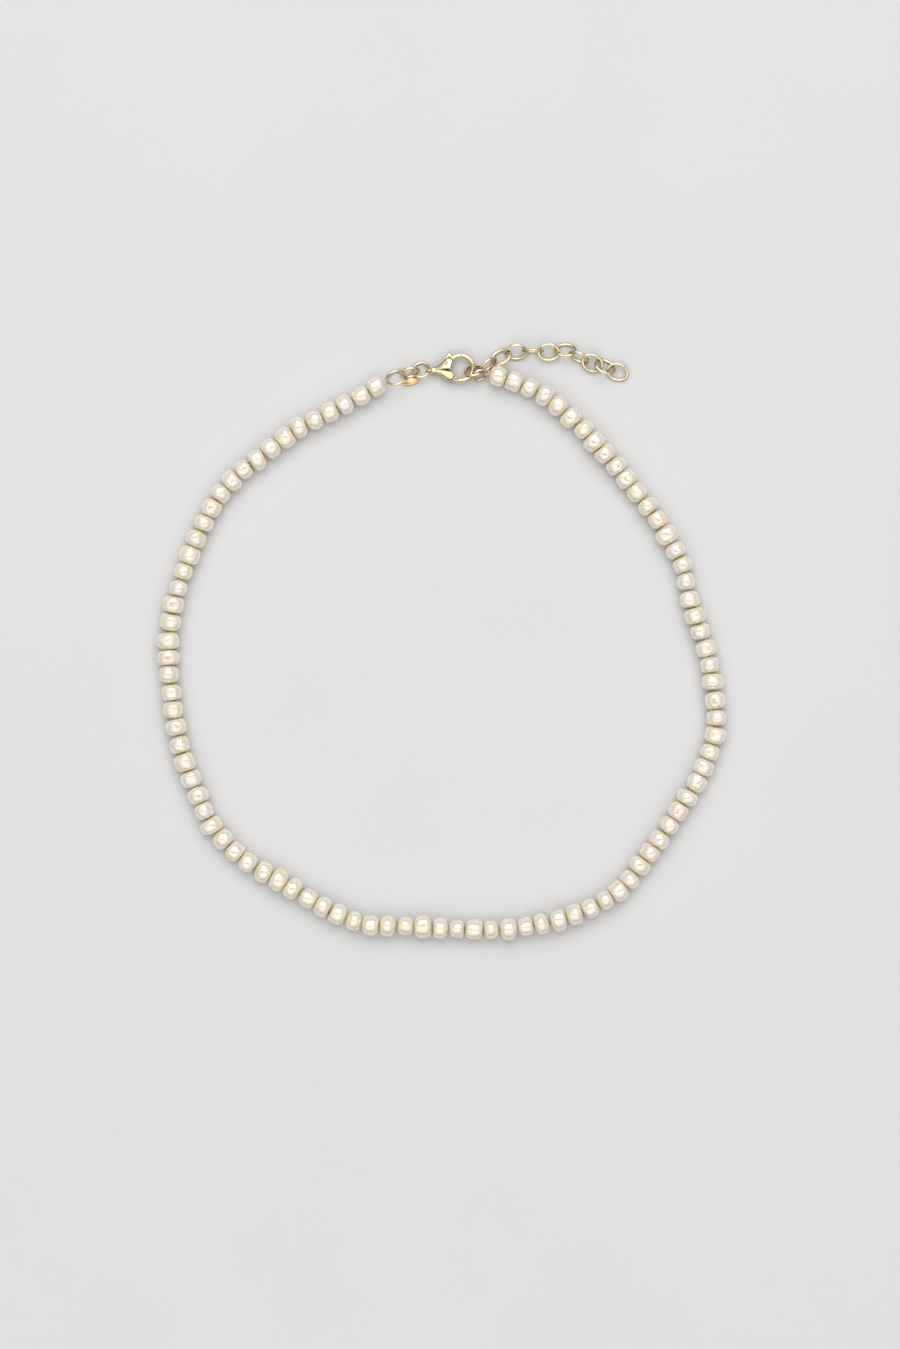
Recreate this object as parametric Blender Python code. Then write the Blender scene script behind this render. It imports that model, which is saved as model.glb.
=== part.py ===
"""A short pearl necklace with a lobster clasp and an extender chain, lying flat on a surface.

Metres, +Z up. The origin is the middle of the necklace's footprint at the height of the surface.
The strand runs clockwise from its right end by the extender, round the bottom, to its left end.
Every moving piece is parented to an empty that stands on its joint's axis.
"""
import math
import random

import bmesh
import bpy
from mathutils import Euler, Vector

MM = 0.001
WELD_DISTANCE = 0.001 * MM
SHARP_ANGLE = math.radians(40)

# Strand
PEARL_COUNT = 95
PEARLS_PER_GROUP = 3
PEARL_LENGTH = (3.4, 4.0)  # mm, smallest and largest along the thread
PEARL_ACROSS = (4.1, 4.75)  # mm, smallest and largest across the thread
PEARL_SEED = 12
PEARL_GAP = 0.13 * MM  # between neighbouring pearls along the thread
PEARL_STATIONS = (-1.0, -0.62, 0.0, 0.62, 1.0)  # share of the half length
PEARL_ROUNDNESS = 2.2  # 2 is an ellipse, more is a fuller barrel
DRILL_RADIUS = 0.24 * MM
ROOT_GROUP = 16
THREAD_RADIUS = 0.12 * MM
RIGHT_LOOP_RADIUS = 0.46 * MM
LEFT_LOOP_RADIUS = 0.3 * MM
LOOP_GAP = 0.03 * MM  # between a thread loop and its end pearl
LOOP_SEGMENTS = 10

# Route of the thread, from the right end pearl to the left end pearl, as it lies (mm)
ROUTE = [
    (12.0, 57.0), (20.8, 53.7), (28.4, 47.7), (34.9, 40.6), (41.2, 33.1), (46.9, 25.4),
    (51.5, 17.0), (53.8, 7.6), (56.8, -1.5), (58.6, -11.0), (58.7, -20.5), (55.3, -29.4),
    (50.1, -37.6), (44.6, -45.5), (38.6, -53.0), (30.2, -58.1), (21.0, -60.8), (11.4, -61.9),
    (1.8, -61.7), (-7.9, -61.2), (-17.5, -60.6), (-26.2, -56.7), (-34.3, -51.7), (-42.6, -46.6),
    (-49.2, -39.7), (-53.2, -30.8), (-56.4, -21.7), (-58.0, -12.1), (-58.8, -2.5), (-57.9, 7.0),
    (-55.1, 16.2), (-51.3, 25.1), (-46.2, 33.4), (-39.0, 39.7), (-31.1, 45.6), (-22.6, 50.0),
    (-14.1, 54.7),
]
STEPS_PER_POINT = 24  # straight steps between two route points when the length is measured

# Rings and links: outer length, outer width, wire diameter (mm)
RING_SIZES = {
    "left_end_ring": (4.75, 4.75, 0.47),
    "tag_link": (4.5, 3.9, 0.62),
    "clasp_ring": (4.1, 4.1, 0.5),
    "connector_ring": (4.4, 4.4, 0.56),
    "right_end_ring": (3.9, 3.9, 0.5),
}
FIRST_LINK_SIZE = (4.7, 4.0, 0.54)
LINK_SIZE = (4.9, 4.05, 0.54)
RING_SEGMENTS = 14
WIRE_BEVEL_RESOLUTION = 2
PLATE_BEVEL_RESOLUTION = 1

# Where each ring lies: centre x, y, z (mm), then heading, pitch and roll (degrees)
RING_PLACES = {
    "left_end_ring": (-9.75, 56.75, 1.75, 18, 0, -44),
    "tag_link": (-6.8, 57.85, 1.8, 12, 0, 61),
    "clasp_ring": (-4.4, 58.45, 1.15, 9, 1, -29),
    "connector_ring": (6.95, 58.2, 1.9, 7, 1, -56),
    "right_end_ring": (8.15, 57.3, 2.0, 17, -1, 59),
}
LINK_PLACES = [
    (9.95, 59.5, 1.85, 38, 0, 67),
    (12.8, 61.2, 1.3, 31, 0, -35),
    (16.05, 62.3, 1.35, 3, 4, 36),
    (19.6, 62.5, 2.05, -2, 0, 89),
    (23.05, 62.25, 1.35, 0, -2, 15),
    (26.65, 62.7, 1.4, -1, 4, -39),
    (29.55, 61.15, 1.9, -26, 0, 67),
    (32.45, 59.95, 1.15, -24, -9, 11),
    (35.15, 59.15, 1.4, -29, 4, -38),
    (37.85, 58.05, 0.8, -20, -2, 15),
]

# Tag plate, soldered under the tag link (mm, degrees)
PLATE_LENGTH = 3.9
PLATE_WIDTH = 1.6
PLATE_THICKNESS = 0.34
PLATE_EDGE = 0.05
PLATE_PLACE = (-6.65, 56.0, 0.22)
PLATE_HEADING = 12
PLATE_SEGMENTS = 16

# Clasp (mm, degrees), measured from the middle of its hoop, tail towards -X, gate towards +Y
CLASP_PLACE = (4.1, 58.9, 1.45)
CLASP_HEADING = 5.4
HOOP_RADIUS = 2.67  # to the middle of the wire
HOOP_HOLE_RADIUS = 2.2
HOOK_WIRE_RADIUS = 0.47
GATE_WIRE_RADIUS = 0.44
HOOK_ARC = (-140, 77)
GATE_ARC = (84, 150)
ARC_STEP = 12
BODY_SIDE = [(-6.5, 0.6), (-5.7, 0.72), (-4.8, 1.1), (-3.9, 1.85), (-3.1, 2.5), (-2.2, 2.75), (-1.9, 2.5)]
BODY_HALF_THICKNESS = 1.3
BODY_EDGE = 0.35
TAIL_THICKNESS_SHARE = 0.5
TAIL_X = -6.5
SHOULDER_X = -3.4
SLOT_LOW = (-5.3, -1.2, -0.6)
SLOT_HIGH = (-0.5, 3.6, 0.6)
PIVOT = (-3.1, 1.25)
PIN_RADIUS = 0.34
PIN_LENGTH = 2.3
PIN_HOLE_RADIUS = 0.42
PIN_SEGMENTS = 16
CUTTER_LENGTH = 4  # longer than the body is thick
LEVER_HALF_THICKNESS = 0.44
LEVER_EDGE = 0.08
LEVER_OUTLINE = [
    (-3.85, 0.95), (-3.35, 0.5), (-2.55, 0.6), (-2.25, 1.15), (-1.75, 1.85), (-1.35, 2.4),
    (-1.75, 2.75), (-1.85, 3.2), (-2.25, 3.45), (-2.65, 3.2), (-2.75, 2.6), (-3.4, 2.0), (-3.85, 1.6),
]
SPRING_ROUTE = [
    (-3.35, 0.12), (-4.1, 0.2), (-4.65, 0.0), (-4.9, -0.35), (-4.65, -0.75), (-4.1, -0.9), (-3.4, -0.9),
]
SPRING_WIRE_RADIUS = 0.1
EYE_X = -6.8
EYE_RADIUS = 0.64
EYE_WIRE_RADIUS = 0.22

COLOURS = {
    "pearl": ((0.88, 0.83, 0.74), 0.22, 0.0),
    "gold": ((0.86, 0.66, 0.3), 0.2, 1.0),
    "thread": ((0.86, 0.82, 0.72), 0.8, 0.0),
    "steel": ((0.62, 0.6, 0.55), 0.3, 1.0),
}


def clear_scene():
    for item in list(bpy.data.objects):
        bpy.data.objects.remove(item, do_unlink=True)


def new_collection(name):
    collection = bpy.data.collections.new(name)
    bpy.context.scene.collection.children.link(collection)
    return collection


def material(name):
    colour, roughness, metallic = COLOURS[name]
    made = bpy.data.materials.new(name)
    made.use_nodes = True
    shader = made.node_tree.nodes["Principled BSDF"]
    shader.inputs["Base Color"].default_value = (*colour, 1)
    shader.inputs["Roughness"].default_value = roughness
    shader.inputs["Metallic"].default_value = metallic
    made.diffuse_color = (*colour, 1)
    return made


def vector_mm(place):
    return Vector(place) * MM


def pivot(name, place, parent):
    """An empty on a joint's axis, at a world position, below the parent's empty."""
    empty = bpy.data.objects.new(name + "_pivot", None)
    empty.empty_display_size = MM
    PARTS.objects.link(empty)
    empty.parent = parent
    empty.location = place - WORLD_PLACES[parent.name] if parent else place
    WORLD_PLACES[empty.name] = place
    return empty


def hang(item, parent, place, turn=(0, 0, 0)):
    """Puts an object at a world position, turned as given, below a pivot."""
    item.parent = parent
    item.location = place - WORLD_PLACES[parent.name]
    item.rotation_euler = turn


def curve_object(name, stations, bevel, finish, cyclic=False):
    """A round wire along a list of (point, radius share)."""
    data = bpy.data.curves.new(name, "CURVE")
    data.dimensions = "3D"
    data.bevel_depth = bevel
    data.bevel_resolution = WIRE_BEVEL_RESOLUTION
    data.use_fill_caps = not cyclic
    spline = data.splines.new("POLY")
    spline.points.add(len(stations) - 1)
    spline.use_cyclic_u = cyclic
    for control, (place, share) in zip(spline.points, stations):
        control.co = (*place, 1)
        control.radius = share
    data.materials.append(finish)
    item = bpy.data.objects.new(name, data)
    PARTS.objects.link(item)
    return item


def plate_object(name, outline, half_thickness, edge, finish):
    """A flat outline in X and Y (metres), given thickness along Z with rounded edges (mm)."""
    data = bpy.data.curves.new(name, "CURVE")
    data.dimensions = "2D"
    data.fill_mode = "BOTH"
    data.extrude = (half_thickness - edge) * MM
    data.bevel_depth = edge * MM
    data.bevel_resolution = PLATE_BEVEL_RESOLUTION
    data.offset = -edge * MM
    spline = data.splines.new("POLY")
    spline.points.add(len(outline) - 1)
    spline.use_cyclic_u = True
    for control, (x, y) in zip(spline.points, outline):
        control.co = (x, y, 0, 1)
    data.materials.append(finish)
    item = bpy.data.objects.new(name, data)
    PARTS.objects.link(item)
    return item


def as_mesh(item):
    """The same object as a welded mesh."""
    bpy.context.view_layer.update()
    graph = bpy.context.evaluated_depsgraph_get()
    mesh = bpy.data.meshes.new_from_object(item.evaluated_get(graph))
    name = item.name
    matrix = item.matrix_world.copy()
    bpy.data.objects.remove(item, do_unlink=True)
    work = bmesh.new()
    work.from_mesh(mesh)
    bmesh.ops.remove_doubles(work, verts=work.verts, dist=WELD_DISTANCE)
    bmesh.ops.recalc_face_normals(work, faces=work.faces)
    work.to_mesh(mesh)
    work.free()
    made = bpy.data.objects.new(name, mesh)
    made.matrix_world = matrix
    PARTS.objects.link(made)
    return made


def smooth(item):
    """Rounded surfaces shaded smooth, with sharp edges kept."""
    item.data.shade_smooth()
    item.data.set_sharp_from_angle(angle=SHARP_ANGLE)


def block(name, low, high):
    """A box between two corners given in millimetres."""
    bpy.ops.mesh.primitive_cube_add(size=1, location=(vector_mm(low) + vector_mm(high)) / 2)
    item = bpy.context.object
    item.name = name
    item.scale = vector_mm(high) - vector_mm(low)
    return item


def rod(name, radius, length, place):
    """A round bar along Z, in millimetres."""
    bpy.ops.mesh.primitive_cylinder_add(
        vertices=PIN_SEGMENTS, radius=radius * MM, depth=length * MM, location=vector_mm(place)
    )
    item = bpy.context.object
    item.name = name
    return item


def into(item, collection):
    for other in list(item.users_collection):
        other.objects.unlink(item)
    collection.objects.link(item)


def boolean(item, tool, operation):
    """Joins a tool to an item or cuts it away, and keeps the tool as a hidden guide."""
    into(tool, CUTTERS)
    tool.hide_render = True
    tool.display_type = "WIRE"
    modifier = item.modifiers.new(tool.name, "BOOLEAN")
    modifier.operation = operation
    modifier.solver = "EXACT"
    modifier.object = tool


def baked(item):
    """The item with its modifiers applied, as a new plain mesh."""
    bpy.context.view_layer.update()
    graph = bpy.context.evaluated_depsgraph_get()
    mesh = bpy.data.meshes.new_from_object(item.evaluated_get(graph))
    item.modifiers.clear()
    item.data = mesh
    smooth(item)
    return item


def smooth_point(before, start, end, after, share):
    """A point on the Catmull-Rom curve between start and end."""
    square = share * share
    cube = square * share
    return 0.5 * (
        2 * start
        + (end - before) * share
        + (2 * before - 5 * start + 4 * end - after) * square
        + (3 * start - before - 3 * end + after) * cube
    )


def measured_route():
    """Points along the smooth route, and the length run at each of them."""
    given = [Vector((x * MM, y * MM, 0)) for x, y in ROUTE]
    ends = [2 * given[0] - given[1]] + given + [2 * given[-1] - given[-2]]
    points = [given[0]]
    for index in range(1, len(ends) - 2):
        for step in range(1, STEPS_PER_POINT + 1):
            points.append(smooth_point(*ends[index - 1:index + 3], step / STEPS_PER_POINT))
    lengths = [0.0]
    for start, end in zip(points, points[1:]):
        lengths.append(lengths[-1] + (end - start).length)
    return points, lengths


def route_at(distance, points, lengths):
    """The place and direction on the route after a distance along it."""
    index = 1
    while index < len(lengths) - 1 and lengths[index] < distance:
        index += 1
    start, end = points[index - 1], points[index]
    share = (distance - lengths[index - 1]) / (lengths[index] - lengths[index - 1])
    return start + (end - start) * share, (end - start).normalized()


def pearl_sizes(total):
    """Length along the thread and radius across it of each pearl, so that they fill the route."""
    draw = random.Random(PEARL_SEED)
    sizes = [
        (draw.uniform(*PEARL_LENGTH) * MM, draw.uniform(*PEARL_ACROSS) * MM / 2)
        for _ in range(PEARL_COUNT)
    ]
    spans = sum((a[0] + b[0]) / 2 for a, b in zip(sizes, sizes[1:]))
    fit = (total - PEARL_GAP * (PEARL_COUNT - 1)) / spans
    return [(length * fit, radius) for length, radius in sizes]


def strung_pearls():
    """Centre, direction, half length and radius of every pearl."""
    points, lengths = measured_route()
    sizes = pearl_sizes(lengths[-1])
    pearls = []
    distance = 0.0
    for index, (length, radius) in enumerate(sizes):
        if index:
            distance += (sizes[index - 1][0] + length) / 2 + PEARL_GAP
        place, direction = route_at(distance, points, lengths)
        place.z = radius
        pearls.append((place, direction, length / 2, radius))
    return pearls


def pearl_stations(pearl, origin):
    """Points along one pearl's drill axis, each with the pearl's radius there in millimetres."""
    place, direction, half, radius = pearl
    stations = []
    for share in PEARL_STATIONS:
        fullness = max(0.0, 1 - abs(share) ** PEARL_ROUNDNESS) ** (1 / PEARL_ROUNDNESS)
        width = max(DRILL_RADIUS, radius * fullness)
        stations.append((place + direction * half * share - origin, width / MM))
    return stations


def between(first, second):
    """The point on the thread halfway between two neighbouring pearls."""
    end = first[0] + first[1] * first[2]
    start = second[0] - second[1] * second[2]
    return (end + start) / 2


def build_strand():
    """Groups of pearls, each a single body, hinged on one another from the root group outwards."""
    pearls = strung_pearls()
    groups = [pearls[at:at + PEARLS_PER_GROUP] for at in range(0, PEARL_COUNT, PEARLS_PER_GROUP)]
    root = ROOT_GROUP - 1
    pivots = {root: pivot(f"pearls_{ROOT_GROUP:02d}", groups[root][1][0].copy(), None)}
    for index in range(root - 1, -1, -1):
        place = between(groups[index][-1], groups[index + 1][0])
        pivots[index] = pivot(f"pearls_{index + 1:02d}", place, pivots[index + 1])
    for index in range(root + 1, len(groups)):
        place = between(groups[index - 1][-1], groups[index][0])
        pivots[index] = pivot(f"pearls_{index + 1:02d}", place, pivots[index - 1])
    for index, group in enumerate(groups):
        origin = WORLD_PLACES[pivots[index].name]
        stations = [station for pearl in group for station in pearl_stations(pearl, origin)]
        item = curve_object(f"pearls_{index + 1:02d}", stations, MM, PEARL)
        hang(item, pivots[index], origin)
    return pearls, pivots[0], pivots[len(groups) - 1]


def circle(radius, count):
    return [
        Vector((radius * math.cos(2 * math.pi * k / count), radius * math.sin(2 * math.pi * k / count), 0))
        for k in range(count)
    ]


def build_thread_loop(name, pearl, outward, radius, parent, turn):
    """The closed loop of thread that comes out of an end pearl."""
    centre = pearl[0] + outward * (pearl[2] + radius + THREAD_RADIUS + LOOP_GAP)
    ring = [(place, 1.0) for place in circle(radius, LOOP_SEGMENTS)]
    item = curve_object(name, ring, THREAD_RADIUS, THREAD, cyclic=True)
    heading = math.atan2(outward.y, outward.x)
    hang(item, parent, centre, (math.radians(turn), 0, heading))
    return centre


def ring_turn(place):
    """The rotation of a ring from its heading, pitch (its far end raised) and roll."""
    heading, pitch, roll = place[3:]
    return Euler((math.radians(roll), -math.radians(pitch), math.radians(heading)))


def ring_end(size, place, side):
    """Where the middle of the wire crosses the ring's long axis, ahead (+1) or behind (-1)."""
    reach = (size[0] - size[2]) / 2 * MM
    return vector_mm(place[:3]) + ring_turn(place).to_matrix() @ Vector((side * reach, 0, 0))


def build_ring(name, size, place, parent):
    """An oval ring of round wire. Its centre line is an ellipse."""
    long_half = (size[0] - size[2]) / 2 * MM
    short_half = (size[1] - size[2]) / 2 * MM
    wire = []
    for point in circle(1.0, RING_SEGMENTS):
        wire.append((Vector((point.x * long_half, point.y * short_half, 0)), 1.0))
    item = curve_object(name, wire, size[2] / 2 * MM, GOLD, cyclic=True)
    hang(item, parent, vector_mm(place[:3]), ring_turn(place))
    return item


def arc(start, end, radius):
    """Points on an arc round the middle of the hoop, from one angle to another in degrees."""
    count = max(2, round(abs(end - start) / ARC_STEP))
    angles = [math.radians(start + (end - start) * k / count) for k in range(count + 1)]
    return [(Vector((radius * MM * math.cos(a), radius * MM * math.sin(a), 0)), 1.0) for a in angles]


def thin_tail(item):
    """Tapers the body's thickness from its shoulders down to its tail."""
    for vertex in item.data.vertices:
        share = (vertex.co.x / MM - TAIL_X) / (SHOULDER_X - TAIL_X)
        share = min(1.0, max(0.0, share))
        vertex.co.z *= TAIL_THICKNESS_SHARE + (1 - TAIL_THICKNESS_SHARE) * share


def clasp_body():
    """A teardrop with a fixed hook, an eye at its tail, and a slot for the lever."""
    upper = [(x * MM, y * MM) for x, y in BODY_SIDE]
    lower = [(x, -y) for x, y in upper]
    body = plate_object("clasp_body", lower + upper[::-1], BODY_HALF_THICKNESS, BODY_EDGE, GOLD)
    body = as_mesh(body)
    thin_tail(body)
    boolean(body, rod("hoop_hole", HOOP_HOLE_RADIUS, CUTTER_LENGTH, (0, 0, 0)), "DIFFERENCE")
    boolean(body, block("lever_slot", SLOT_LOW, SLOT_HIGH), "DIFFERENCE")
    boolean(body, rod("pin_hole", PIN_HOLE_RADIUS, CUTTER_LENGTH, (*PIVOT, 0)), "DIFFERENCE")
    hook = curve_object("hook", arc(*HOOK_ARC, HOOP_RADIUS), HOOK_WIRE_RADIUS * MM, GOLD)
    boolean(body, as_mesh(hook), "UNION")
    eye = [(Vector((EYE_X * MM + p.x, 0, p.y)), 1.0) for p in circle(EYE_RADIUS * MM, LOOP_SEGMENTS)]
    eye = curve_object("tail_eye", eye, EYE_WIRE_RADIUS * MM, GOLD, cyclic=True)
    boolean(body, as_mesh(eye), "UNION")
    return baked(body)


def clasp_lever():
    """The gate that closes the hoop, with its thumb nub and the hole for the pin."""
    outline = [(x * MM, y * MM) for x, y in LEVER_OUTLINE]
    lever = as_mesh(plate_object("clasp_lever", outline, LEVER_HALF_THICKNESS, LEVER_EDGE, GOLD))
    boolean(lever, rod("lever_hole", PIN_HOLE_RADIUS, CUTTER_LENGTH, (*PIVOT, 0)), "DIFFERENCE")
    gate = curve_object("gate", arc(*GATE_ARC, HOOP_RADIUS), GATE_WIRE_RADIUS * MM, GOLD)
    boolean(lever, as_mesh(gate), "UNION")
    return baked(lever)


def build_clasp(parent):
    """The four pieces of the clasp. The lever has a pivot of its own on the pin."""
    turn = Euler((0, 0, math.radians(CLASP_HEADING)))
    place = vector_mm(CLASP_PLACE)
    hang(clasp_body(), parent, place, turn)
    pin = rod("clasp_pin", PIN_RADIUS, PIN_LENGTH, (0, 0, 0))
    into(pin, PARTS)
    smooth(pin)
    pin.data.materials.append(GOLD)
    pin_place = place + turn.to_matrix() @ vector_mm((*PIVOT, 0))
    hang(pin, parent, pin_place, turn)
    spring = [(vector_mm((x, y, 0)), 1.0) for x, y in SPRING_ROUTE]
    spring = curve_object("clasp_spring", spring, SPRING_WIRE_RADIUS * MM, STEEL)
    hang(spring, parent, place, turn)
    lever_pivot = pivot("clasp_lever", pin_place, parent)
    hang(clasp_lever(), lever_pivot, place, turn)


def build_tag_plate(parent):
    outline = [
        (point.x * PLATE_LENGTH / 2 * MM, point.y * PLATE_WIDTH / 2 * MM)
        for point in circle(1.0, PLATE_SEGMENTS)
    ]
    plate = as_mesh(plate_object("tag_plate", outline, PLATE_THICKNESS / 2, PLATE_EDGE, GOLD))
    hang(plate, parent, vector_mm(PLATE_PLACE), (0, 0, math.radians(PLATE_HEADING)))


def build_fittings(pearls, right_end, left_end):
    """Loops, rings, clasp and chain. They hang on the strand's right end, one after another."""
    right_outward = -pearls[0][1]
    left_outward = pearls[-1][1]
    loop = build_thread_loop("right_thread_loop", pearls[0], right_outward, RIGHT_LOOP_RADIUS, right_end, 0)
    build_thread_loop("left_thread_loop", pearls[-1], left_outward, LEFT_LOOP_RADIUS, left_end, 90)

    end_ring = pivot("right_end_ring", loop, right_end)
    build_ring("right_end_ring", RING_SIZES["right_end_ring"], RING_PLACES["right_end_ring"], end_ring)

    size, place = RING_SIZES["connector_ring"], RING_PLACES["connector_ring"]
    crossing = ring_end(RING_SIZES["right_end_ring"], RING_PLACES["right_end_ring"], -1)
    connector = pivot("connector_ring", (crossing + ring_end(size, place, 1)) / 2, end_ring)
    build_ring("connector_ring", size, place, connector)

    last = connector
    last_end = ring_end(size, place, 1)
    for number, link_place in enumerate(LINK_PLACES, 1):
        name = f"chain_link_{number:02d}"
        link_size = FIRST_LINK_SIZE if number == 1 else LINK_SIZE
        last = pivot(name, (last_end + ring_end(link_size, link_place, -1)) / 2, last)
        build_ring(name, link_size, link_place, last)
        last_end = ring_end(link_size, link_place, 1)

    nose = vector_mm(CLASP_PLACE) + Vector((HOOP_RADIUS * MM, 0, 0))
    clasp = pivot("clasp_body", (nose + ring_end(size, place, -1)) / 2, connector)
    build_clasp(clasp)

    turn = Euler((0, 0, math.radians(CLASP_HEADING)))
    eye = vector_mm(CLASP_PLACE) + turn.to_matrix() @ Vector((EYE_X * MM, 0, 0))
    last, last_end = clasp, eye
    for name in ("clasp_ring", "tag_link", "left_end_ring"):
        size, place = RING_SIZES[name], RING_PLACES[name]
        last = pivot(name, (last_end + ring_end(size, place, 1)) / 2, last)
        build_ring(name, size, place, last)
        if name == "tag_link":
            build_tag_plate(last)
        last_end = ring_end(size, place, -1)


clear_scene()
PARTS = new_collection("pearl_necklace")
CUTTERS = new_collection("cutters")
PEARL = material("pearl")
GOLD = material("gold")
THREAD = material("thread")
STEEL = material("steel")
WORLD_PLACES = {}

STRAND, RIGHT_END, LEFT_END = build_strand()
build_fittings(STRAND, RIGHT_END, LEFT_END)
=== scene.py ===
"""The finished look of a short pearl necklace that lies flat: pearls, thread, rings, clasp and chain.

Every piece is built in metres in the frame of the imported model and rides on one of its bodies.
Pearls and thread follow the strand's route. Rings, links and thread loops read their places from the
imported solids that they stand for. The clasp and the tag plate are placed by the values below.
"""

import math
import random

import bmesh
import bpy
from mathutils import Euler, Matrix, Vector, noise


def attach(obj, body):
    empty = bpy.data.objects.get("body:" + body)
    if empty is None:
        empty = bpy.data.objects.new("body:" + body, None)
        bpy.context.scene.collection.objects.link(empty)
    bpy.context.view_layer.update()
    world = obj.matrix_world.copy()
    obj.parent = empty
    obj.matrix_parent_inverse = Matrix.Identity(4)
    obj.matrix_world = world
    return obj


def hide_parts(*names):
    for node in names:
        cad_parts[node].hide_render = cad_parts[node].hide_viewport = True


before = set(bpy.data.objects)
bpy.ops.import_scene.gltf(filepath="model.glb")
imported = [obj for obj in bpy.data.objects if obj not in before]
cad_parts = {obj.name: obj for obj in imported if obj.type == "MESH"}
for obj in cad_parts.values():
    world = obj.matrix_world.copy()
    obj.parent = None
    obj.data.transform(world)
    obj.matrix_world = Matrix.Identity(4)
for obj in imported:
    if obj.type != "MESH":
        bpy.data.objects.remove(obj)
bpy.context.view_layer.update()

MM = 0.001

# View: straight down, on the middle of the picture (mm)
VIEW_MIDDLE = (1.8, -7.1)
VIEW_HEIGHT = 290
PEARL_MIDDLE_HEIGHT = 2.2
LENS = 100
SENSOR = 36

# Strand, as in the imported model
PEARL_COUNT = 95
PEARLS_PER_GROUP = 3
PEARL_LENGTH = (3.4, 4.0)
PEARL_ACROSS = (4.1, 4.75)
PEARL_SEED = 12
PEARL_GAP = 0.13 * MM
THREAD_RADIUS = 0.12 * MM
ROUTE = [
    (12.0, 57.0), (20.8, 53.7), (28.4, 47.7), (34.9, 40.6), (41.2, 33.1), (46.9, 25.4),
    (51.5, 17.0), (53.8, 7.6), (56.8, -1.5), (58.6, -11.0), (58.7, -20.5), (55.3, -29.4),
    (50.1, -37.6), (44.6, -45.5), (38.6, -53.0), (30.2, -58.1), (21.0, -60.8), (11.4, -61.9),
    (1.8, -61.7), (-7.9, -61.2), (-17.5, -60.6), (-26.2, -56.7), (-34.3, -51.7), (-42.6, -46.6),
    (-49.2, -39.7), (-53.2, -30.8), (-56.4, -21.7), (-58.0, -12.1), (-58.8, -2.5), (-57.9, 7.0),
    (-55.1, 16.2), (-51.3, 25.1), (-46.2, 33.4), (-39.0, 39.7), (-31.1, 45.6), (-22.6, 50.0),
    (-14.1, 54.7),
]
STEPS_PER_POINT = 24

# Nacre shapes
SHAPE_SEED = 5
PEARL_RINGS = 34  # rings of points from drill hole to drill hole
PEARL_SIDES = 52
HOLE_RADIUS = 0.27 * MM
HOLE_LIP = 0.05 * MM
HOLE_RINGS = 3
FULLNESS_TOUCHING = (2.7, 3.4)  # of the section on the side of a neighbour that it leans on
FULLNESS_FREE = (2.3, 2.6)
TILT = 9  # degrees, the most that a pearl's own axis leans from its drill hole
OVAL = 0.07  # share by which a pearl is wider one way than the other
LUMPS = (0.025, 0.06)  # share of the radius
LUMP_PITCH = 1.15
OFF_CENTRE = 0.17 * MM  # the most that a drill hole misses the middle
DIMPLES = (0.004, 0.012)
DIMPLE_PITCH = 4.2
CREASE_DEPTH = (0.006, 0.02)
CREASE_WIDTH = (0.07, 0.13)
CREASES = (1, 3)
CREASE_PLACE = 0.6  # how far from the middle a crease can lie
CREASE_WANDER = (0.12, 1.7)  # amount, pitch
CREASE_FADE = (0.5, 0.9, 1.1)  # least, amount, pitch
NOISE_SPAN = 50
TOUCH_IN_GROUP = 0.06 * MM  # how far a pearl grows past its packed length towards a neighbour
TOUCH_AT_HINGE = 0.02 * MM
END_POWER = 3

# Wire
WIRE_SIDES = 20
WIRE_FULLNESS = 1.07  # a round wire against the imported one, which has flat sides
RING_STEPS = 84
SEAM_WIDTH = 0.09  # radians of the ring that its soldered seam takes
SEAM_SWELL = 0.035
SEAM_TURNS = (0.6, 2.5)  # radians round the ring
END_CAPS = (0.2, 0.55, 0.85)  # shares of the radius
THREAD_SIDES = 12
THREAD_STEPS = 4
THREAD_LEAST = 0.2 * MM  # shorter stretches are left out

# Studio: lean from straight up, heading from +Y (degrees), distance, width, length (metres)
KEY = (35, 0, 1.6, 1.5, 1.35)
KEY_LIGHT = (2.1, (1.0, 0.99, 0.98))  # radiance, colour
FILL = (37, 180, 1.6, 2.8, 1.7)
FILL_LIGHT = (0.42, (1.0, 0.98, 0.95))
CAMERA_FLAG = (-2, 180, 1.2, 1.5, 0.22)
NEAR_FLAG = (77, 180, 1.3, 2.2, 0.42)
FLOOR_SIZE = 6
FLOOR_DROP = 0.02 * MM
WALL_LIGHT = 1.17
CLIP_START = 0.01

# Clasp, in mm, with the hoop's middle as origin, the tail towards -X and the gate towards +Y
CLASP_PLACE = (4.1, 58.9, 1.45)
CLASP_HEADING = 5.4
HOOP_RADIUS = 2.67
HOOP_HOLE_RADIUS = 2.2
HOOP_STEPS = 8
LOFT_SIDES = 48
FLARE = [  # place along X, half width, half thickness
    (-6.75, 0.40, 0.40), (-6.2, 0.62, 0.60), (-5.5, 0.76, 0.72), (-4.8, 1.12, 0.90),
    (-3.9, 1.85, 1.14), (-3.1, 2.48, 1.27), (-2.45, 2.76, 1.30), (-1.9, 2.62, 1.26), (-1.5, 2.25, 1.18),
]
FLARE_POWER = 2.15
FLARE_SIDES = 96
SLOT = ((-5.3, -1.2), (-0.5, 3.6))  # opposite corners
SLOT_HALF = 0.6
CUTTER_HALF = 4
PIVOT = (-3.1, 1.25)
PIN_HOLE_RADIUS = 0.42
HOOK = [  # angle, half width, half thickness
    (-142, 0.47, 0.5), (-110, 0.46, 0.44), (-70, 0.46, 0.42), (-20, 0.46, 0.42), (20, 0.46, 0.43),
    (55, 0.45, 0.45), (70, 0.44, 0.44), (79.4, 0.42, 0.42),
]
STEP = [(-140, 0.47, 0.55), (-130, 0.5, 0.66), (-118, 0.5, 0.64), (-107, 0.46, 0.52)]
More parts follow.
